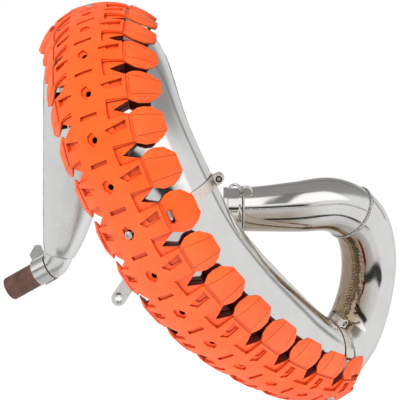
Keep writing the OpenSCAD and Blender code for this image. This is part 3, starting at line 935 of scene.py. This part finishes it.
def bent(mesh, n, side=1):
    """A copy of a flat form bent round the pipe at link n."""
    copy = mesh.copy()
    points = np.empty(len(copy.vertices) * 3, np.float32)
    copy.vertices.foreach_get("co", points)
    flat_points = points.reshape(-1, 3).astype(float) * np.array([side, 1, 1])
    copy.vertices.foreach_set("co", (wrap(flat_points, n) * MM).astype(np.float32).ravel())
    # painted shade: faces below the web are marked for the deep red inside
    paint(copy, "inside", np.clip(-WEB - 0.3 - flat_points[:, 2], 0, 1))
    if side < 0:
        copy.flip_normals()
    copy.update()
    return copy


def guard():
    """Fifteen middle plates and the free tabs of those that no clamp holds."""
    plain = finished(plate_mesh(False), "plate")
    held = finished(plate_mesh(True), "held_plate")
    tab = finished(tab_mesh(), "tab")
    for n in range(1, LINKS + 1):
        node = f"guard_link_{n:02d}"
        mesh = bent(held if n in CLAMPED else plain, n)
        show(f"{node}_moulding", mesh, LINK_ORANGE, nodes=[node], even=True)
        if n in CLAMPED:
            continue
        for letter, side in (("r", 1), ("l", -1)):
            node = f"tab_{letter}_{n:02d}"
            mesh = bent(tab, n, side)
            show(f"{node}_moulding", mesh, TAB_ORANGE_PAINTED_LIGHTER, node, [node], even=True)


guard()

# ---- clamps

BAND_W, BAND_T, BAND_CLEAR, HOUSING_ANGLE = 9, 0.9, 0.55, 120
WORM_R, WORM_CLEAR, WORM_LEN, WORM_PITCH = 3.3, 0.08, 15, 1.6
SCREW_R, HEAD_R, NUT_H, POCKET = 2.2, 4.3, 4.5, 2
STRAP_W = 11.2  # as wide as the band at (196-214,175-198); the solids have BAND_W
HOUSING_H = 2 * (WORM_R + WORM_CLEAR) + 2.4
# radius of the housing's arch, and how far its foot goes into the strap
HOUSING_ARCH_R, HOUSING_SINK = 5.2, 0.8


def discs(steps, sides=32):
    """A solid of revolution about z through (radius, height) steps."""
    return loft([np.array([(x, y, z) for x, y in circle(0, 0, r, sides)]) for r, z in steps])


def lean(n):
    """Slope of a clamp along the pipe: the middle one sits askew."""
    return 0.07 if n == 8 else 0


def clamp_frame(n):
    """z along the pipe, x towards the middle of the guard."""
    t = link_t(n)
    origin = pos(t) + lean(n) * rad(t) * along(t)
    return placing(origin, along(t) + lean(n) * guard_n(t), guard_n(t))


def clamp_r(n, z):
    """Inner radius of a band, z along the pipe from its middle."""
    t = link_t(n)
    return float(rad(t + z / mm_per_t(t))) + BAND_CLEAR + 0.75 * lean(n) * BAND_W


def band_top(n):
    """Radius on which the housing and the nut plate sit."""
    return max(clamp_r(n, -BAND_W / 2), clamp_r(n, BAND_W / 2)) + BAND_T + 0.1


def turned(angle):
    """Matrix of a turn about z, in degrees."""
    return np.array(Matrix.Rotation(math.radians(angle), 4, "Z"))


def shifted(x, y, z):
    return np.array(Matrix.Translation((x, y, z)))


def on_housing(n):
    """Frame of a worm housing on its band, set so that the worm lies on its joint's axis."""
    seat = clamp_frame(n) @ turned(HOUSING_ANGLE) @ shifted(band_top(n), 0, 0)
    name = f"worm_screw_{CLAMPED.index(n) + 1}_turn"
    joint = next(j for j in frame["joints"] if j["name"] == name)
    axis = unit(np.array(joint["axis"]))
    off = np.array(joint["pos_m"]) / MM - (seat @ (HOUSING_H / 2, 0, 0, 1))[:3]
    return shifted(*(off - (off @ axis) * axis)) @ seat


def band(n):
    """Clamp strap with rounded edges and punched slots for the worm."""
    h, slot, edge, cells = STRAP_W / 2, 0.36 * STRAP_W / 2, 0.2, 180
    section = [(edge, -h), (0, edge - h), (0, -slot), (0, slot), (0, h - edge), (edge, h)]
    section += [(BAND_T - out, z) for out, z in section[::-1]]
    size = len(section)
    points, faces = [], []
    for k in range(cells):
        a = 2 * math.pi * k / cells
        for out, z in section:
            r = clamp_r(n, z) + out
            points.append((r * math.cos(a), r * math.sin(a), z))
    slotted = [k % 2 == 0 and -16 < 360 * k / cells - HOUSING_ANGLE < 60 for k in range(cells)]
    for k in range(cells):
        here, after = k * size, (k + 1) % cells * size
        for i in range(size):
            if not (slotted[k] and i in (2, 8)):
                faces.append((here + i, after + i, after + (i + 1) % size, here + (i + 1) % size))
        if slotted[k]:
            # the slot's four walls, between the section's points 2, 3, 8 and 9
            faces += [(here + 2, here + 3, here + 8, here + 9), (after + 2, after + 9, after + 8, after + 3),
                      (here + 2, here + 9, after + 9, after + 2), (here + 3, after + 3, after + 8, here + 8)]
    return np.array(points), faces


def housing():
    """Arched shell over the worm, with two windows on its thread; x is out, y along the worm."""
    half, high, end = BAND_W / 2 + 1, HOUSING_H / 2, WORM_LEN / 2
    bore = WORM_R + WORM_CLEAR
    rows = []
    for y, inset in ((-end, 0.5), (0.5 - end, 0), (end - 0.5, 0), (end, 0.5)):
        ring = []
        for a in full_turn(64):
            dx, dz = math.cos(a), math.sin(a)
            reach = min((high - inset) / max(abs(dx), 1e-6), (half - inset) / max(abs(dz), 1e-6))
            if dx > 0:
                reach = min(reach, HOUSING_ARCH_R - inset)
            elif abs(reach * dx) > high - inset - 0.01:
                reach *= 1 + HOUSING_SINK / high
            ring.append((high + reach * dx, y, reach * dz))
        rows.append(np.array(ring))
    hollow = discs([(bore, -WORM_LEN), (bore, WORM_LEN)], 48)
    across = placing((high, 0, 0), (0, 1, 0), (0, 0, 1))
    windows = [box((HOUSING_H - 4, y - 1.9, -2.2), (HOUSING_H + 2, y + 1.9, 2.2)) for y in (-3.2, 3.2)]
    return taken(rounded(combined(loft(rows), [], [moved(across, hollow), *windows]), 0.15))


def worm():
    """Threaded worm with a slotted hexagon head, z from its threaded end to its head."""
    rows, turns = [], full_turn(28)
    for z in np.arange(0, WORM_LEN + 0.4, WORM_PITCH / 6):
        phase = (z / WORM_PITCH - turns / (2 * math.pi)) % 1
        fade = min(1, z / 1.5)
        depth = 0.15 + (0.85 * fade + 0.2) * np.abs(phase - 0.5) * 1.3
        radius = (WORM_R - depth) * (0.6 + 0.4 * fade)
        rows.append(np.stack([radius * np.cos(turns), radius * np.sin(turns), np.full(len(turns), z)], 1))
    top = WORM_LEN + 5.5
    head = combined(prism(circle(0, 0, 4.0, 6), WORM_LEN + 1.4, top),
                    [discs([(4.3, WORM_LEN + 0.5), (4.5, WORM_LEN + 0.8), (4.3, WORM_LEN + 1.5)])],
                    [box((-6, -0.6, top - 1.5), (6, 0.6, top + 1))])
    return merged([loft(rows), taken(rounded(head, 0.3))])


def nut_plate():
    """Threaded block on a band, under the spine hole."""
    block = combined(box((-BAND_W / 2, -6, 0), (BAND_W / 2, 6, NUT_H)), [],
                     [discs([(SCREW_R + 0.05, -1), (SCREW_R + 0.05, NUT_H + 1)])])
    return taken(rounded(block, 0.5))


def guard_screw(low, high):
    """Button-head screw with a hexagon socket, its head seated at high."""
    body = discs([(SCREW_R - 0.3, low), (SCREW_R, low + 0.4), (SCREW_R, high - 0.05), (HEAD_R - 0.3, high),
                  (HEAD_R, high + 0.3), (HEAD_R - 0.1, high + 0.9), (HEAD_R - 0.9, high + 1.7),
                  (HEAD_R - 2.0, high + 2.2)], 48)
    return taken(rounded(combined(body, [], [prism(circle(0, 0, 1.9, 6), high + 0.5, high + 4)]), 0.12))


def clamps():
    """Three straps with their housings, worms, nut plates and the screws through the guard."""
    outwards = placing((0, 0, 0), (1, 0, 0), (0, 0, -1))
    lengthwise = placing((HOUSING_H / 2, -WORM_LEN / 2, 0), (0, 1, 0), (1, 0, 0))
    shell, thread, nut = housing(), worm(), nut_plate()
    bands, shells, nuts, screws = [], [], [], []
    for k, n in enumerate(CLAMPED, 1):
        frame_n = clamp_frame(n)
        bands.append(moved(frame_n, band(n)))
        shells.append(moved(on_housing(n), shell))
        nuts.append(moved(frame_n @ shifted(band_top(n) + 0.1, 0, 0) @ outwards, nut))
        seat = float(rad(link_t(n))) + GUARD_RISE - 0.7 * POCKET + 2 * lean(n) * HEAD_R + 0.6
        screws.append(moved(frame_n @ outwards, guard_screw(band_top(n) + 0.6, seat)))
        mesh = mesh_of(f"worm_{k}", *moved(on_housing(n) @ lengthwise, thread))
        node = f"worm_screw_{k}"
        show(f"{node}_thread", mesh, DARK_ZINC, node, [node], even=True)
    for node, parts, material, slot in (
            ("clamp_bands", bands, STRAP, "clamp_steel"), ("clamp_housings", shells, STRAP, "clamp_steel"),
            ("nut_plates", nuts, ZINC, "screw_steel"), ("guard_screws", screws, SCREW_ZINC, "screw_steel")):
        mesh = mesh_of(node, *merged(parts), sharp=40)
        show(node + "_detail", mesh, material, nodes=[node])


clamps()

# ---- fittings on the pipe

SADDLE_T, SADDLE_LEN = 2.5, 18
BRACKET_T, BRACKET_W, BRACKET_LEN, BRACKET_HOLE_R, BUSH_LEN = 3, 15, 35, 4.1, 10
HOOK_WIRE_R, HOOK_LOOP_R = 1.6, 6


def saddle():
    """Split sleeve round the stinger's root with an upright ear."""
    r0 = STINGER_R + 0.1
    r1 = r0 + SADDLE_T
    sleeve = moved(shifted(0, 0, 1), lathe([(r0, 0), (r1, 0), (r1, SADDLE_LEN), (r0, SADDLE_LEN)], 72))
    ear = prism([(0, 0), (14, 0), (17, 6), (10, SADDLE_LEN), (0, SADDLE_LEN)], 0, SADDLE_T)
    ear = moved(placing((r0 + 0.2, 1.0, 1), (0, -1, 0), (1, 0, 0)), ear)
    gap = box((-r1 - 1, -5, 0), (-6, 5, SADDLE_LEN + 2))
    bm = combined(sleeve, [ear], [gap])
    place = placing(STINGER_ROOT, STINGER_DIR, (0, 0, 1))
    mesh = mesh_of("saddle", *moved(place, taken(rounded(bm, 0.5))), sharp=40)
    show("stinger_saddle_sheet", mesh, SOFT_NICKEL, nodes=["stinger_saddle"], even=True)


def bracket():
    """Pressed lug with two grooves along each face and a bushed eye."""
    t0, half = 12, BRACKET_W / 2
    out = square_to(np.array([-0.8, 0.3, -0.52]), along(t0))
    run = unit(np.array([-0.55, 0.2, -0.81]))
    base = pos(t0) + (rad(t0) + 3.1) * out
    tip = [(BRACKET_LEN + half * math.sin(a), -half * math.cos(a)) for a in np.linspace(0, math.pi, 25)]
    plate = prism([(0, half), (0, -half), *tip], -BRACKET_T / 2, BRACKET_T / 2)
    bush = moved(shifted(BRACKET_LEN, 0, 0), discs([(BRACKET_HOLE_R + 2, -BUSH_LEN / 2),
                                                    (BRACKET_HOLE_R + 2, BUSH_LEN / 2)], 48))
    cuts = [prism(circle(BRACKET_LEN, 0, BRACKET_HOLE_R), -BUSH_LEN, BUSH_LEN)]
    for s in (-1, 1):
        z = sorted((s * (BRACKET_T / 2 - 0.8), s * BRACKET_T))
        for y in (-4.4, 4.4):
            cuts.append(box((3, y - 1.2, z[0]), (BRACKET_LEN - 8.5, y + 1.2, z[1])))
    bm = combined(plate, [bush], cuts)
    place = placing(base, np.cross(run, along(t0)), run)
    mesh = mesh_of("bracket", *moved(place, taken(rounded(bm, 0.45))), sharp=40)
    show("lower_bracket_plate", mesh, NICKEL, nodes=["lower_bracket"], even=True)


def hooks():
    """Bent wire hooks for the header springs."""
    wires = []
    t, d = 0.02, along(0.02)
    for degrees, shift in ((-34, -7), (42, 3)):
        a = math.radians(degrees)
        u = square_to(np.array([0, 0, 1.0]), d)
        o = math.cos(a) * u + math.sin(a) * np.cross(d, u)
        foot = pos(t) + (rad(t) + HOOK_WIRE_R + 0.9) * o + shift * d
        loop = [foot + HOOK_LOOP_R * (math.cos(b) * d + math.sin(b) * o) for b in np.linspace(0, math.pi, 25)]
        path = [loop[0] - HOOK_WIRE_R * o, *loop, loop[-1] - HOOK_WIRE_R * o]
        wires.append(tube(path, HOOK_WIRE_R, 16))
    mesh = mesh_of("hooks", *merged(wires), sharp=50)
    show("spring_hooks_wire", mesh, NICKEL, nodes=["spring_hooks"])


saddle()
bracket()
hooks()

# ---- studio


def floor():
    """A pale round floor under the part, in metres."""
    low = cad_box[0][2] - 0.002
    rim = circle(-0.02, 0.02, 0.75, 96)
    mesh = bpy.data.meshes.new("floor")
    mesh.from_pydata([(x, y, low) for x, y in rim], [], [tuple(range(96))])
    mesh.materials.append(Material("pale_floor", Base_Color=(0.92, 0.92, 0.92), Roughness=0.9,
                                   Emission_Color=(1, 1, 1), Emission_Strength=0.8).material)
    ground = in_scene("floor", mesh)
    ground.visible_glossy = False


def softbox(name, place, target, size, power):
    """A square area light turned towards a point, all in metres."""
    light = bpy.data.lights.new(name, "AREA")
    light.energy = power
    light.size = size
    lamp = in_scene(name, light)
    lamp.location = place
    lamp.visible_glossy = False
    lamp.rotation_euler = (Vector(target) - Vector(place)).to_track_quat("-Z", "Y").to_euler()


def world():
    """White to the camera, an even soft light to matt surfaces, and a studio to mirror in the plating."""
    room = bpy.data.worlds.new("studio")
    room.use_nodes = True
    m = Nodes(room.node_tree)
    m.tree.nodes.clear()

    def maths(operation, a, b):
        return m.add("ShaderNodeMath", a, b, operation=operation).outputs[0]

    def product(mask, *others):
        for other in others:
            mask = maths("MULTIPLY", mask, other)
        return mask

    def step(value, low, high):
        """A soft edge: 0 on the side of low, 1 on the side of high."""
        node = m.add("ShaderNodeMapRange", value, low, high, interpolation_type="SMOOTHSTEP")
        return node.outputs["Result"]

    def within(value, low, high, soft):
        return product(step(value, low - soft, low + soft), step(value, high + soft, high - soft))

    def emits(**sockets):
        return m.add("ShaderNodeBackground", **sockets).outputs[0]

    def either(factor, a, b):
        """Shader a where the factor is 0 and b where it is 1."""
        return m.add("ShaderNodeMixShader", factor, a, b).outputs[0]

    x, y, z = m.add("ShaderNodeSeparateXYZ", m.add("ShaderNodeTexCoord").outputs["Generated"]).outputs
    raised = maths("ADD", z, product(y, 0.2))
    slant = maths("SUBTRACT", y, product(maths("MAXIMUM", x, 0.0), 0.33))
    # what the plating mirrors: brightness and mask of each part of the studio, laid over a grey room
    layers = (
        (1.0, product(step(x, 0.55, 0.75), step(z, 0.55, 0.45))),  # wall on the right
        (0.42, step(raised, 0.46, 0.64)),  # ceiling
        (1.5, product(within(z, 0.28, 0.86, 0.05), step(y, -0.28, -0.42))),  # lamp over the camera
        (0.28, product(within(x, 0.19, 0.36, 0.03), step(y, -0.22, -0.34), within(z, 0.34, 0.95, 0.04))),
        (0.62, product(step(z, -0.76, -0.92), step(x, 0.42, 0.28))),  # floor
        # dark patch at (361-384,268-287) in the bend
        (0.05, product(within(slant, -0.68, -0.52, 0.02), step(z, -0.60, -0.64),
                       within(x, -0.50, 0.76, 0.04))),
        # dark line along the header at v = 205
        (0.04, product(within(z, -0.05, 0.18, 0.03), step(y, -0.26, -0.38), step(x, 0.62, 0.52))),
        (0.30, product(within(y, 0.54, 0.64, 0.06), step(z, 0.06, 0.14))),  # edge of the backdrop
    )
    level = 0.86
    for amount, mask in layers:
        level = maths("ADD", product(maths("SUBTRACT", 1.0, mask), level), product(mask, amount))
    rays = m.add("ShaderNodeLightPath").outputs
    matt = emits(Strength=maths("ADD", product(step(z, -0.9, 0.9), 0.34), 0.06))
    light = either(rays["Is Diffuse Ray"], emits(Strength=level), matt)
    final = either(rays["Is Camera Ray"], light, emits(Color=(1, 1, 1)))
    m.add("ShaderNodeOutputWorld", final)
    bpy.context.scene.world = room


def camera():
    """The photo's camera, level and looking along +Y."""
    lens = bpy.data.cameras.new("camera")
    lens.sensor_fit = "HORIZONTAL"
    lens.sensor_width = 36
    lens.lens = 162
    lens.clip_end = 20
    eye = in_scene("camera", lens)
    eye.location = (-0.025, -1.935, 0.010)
    eye.rotation_euler = (math.pi / 2, 0, 0)
    bpy.context.scene.camera = eye


floor()
world()
camera()
softbox("key", (-0.9, -1.1, 1.2), (-0.05, 0, 0), 0.35, 30)
softbox("fill", (1.2, -1.4, 0.3), (0, 0, 0), 0.7, 5)
bpy.context.scene.view_settings.view_transform = "Standard"
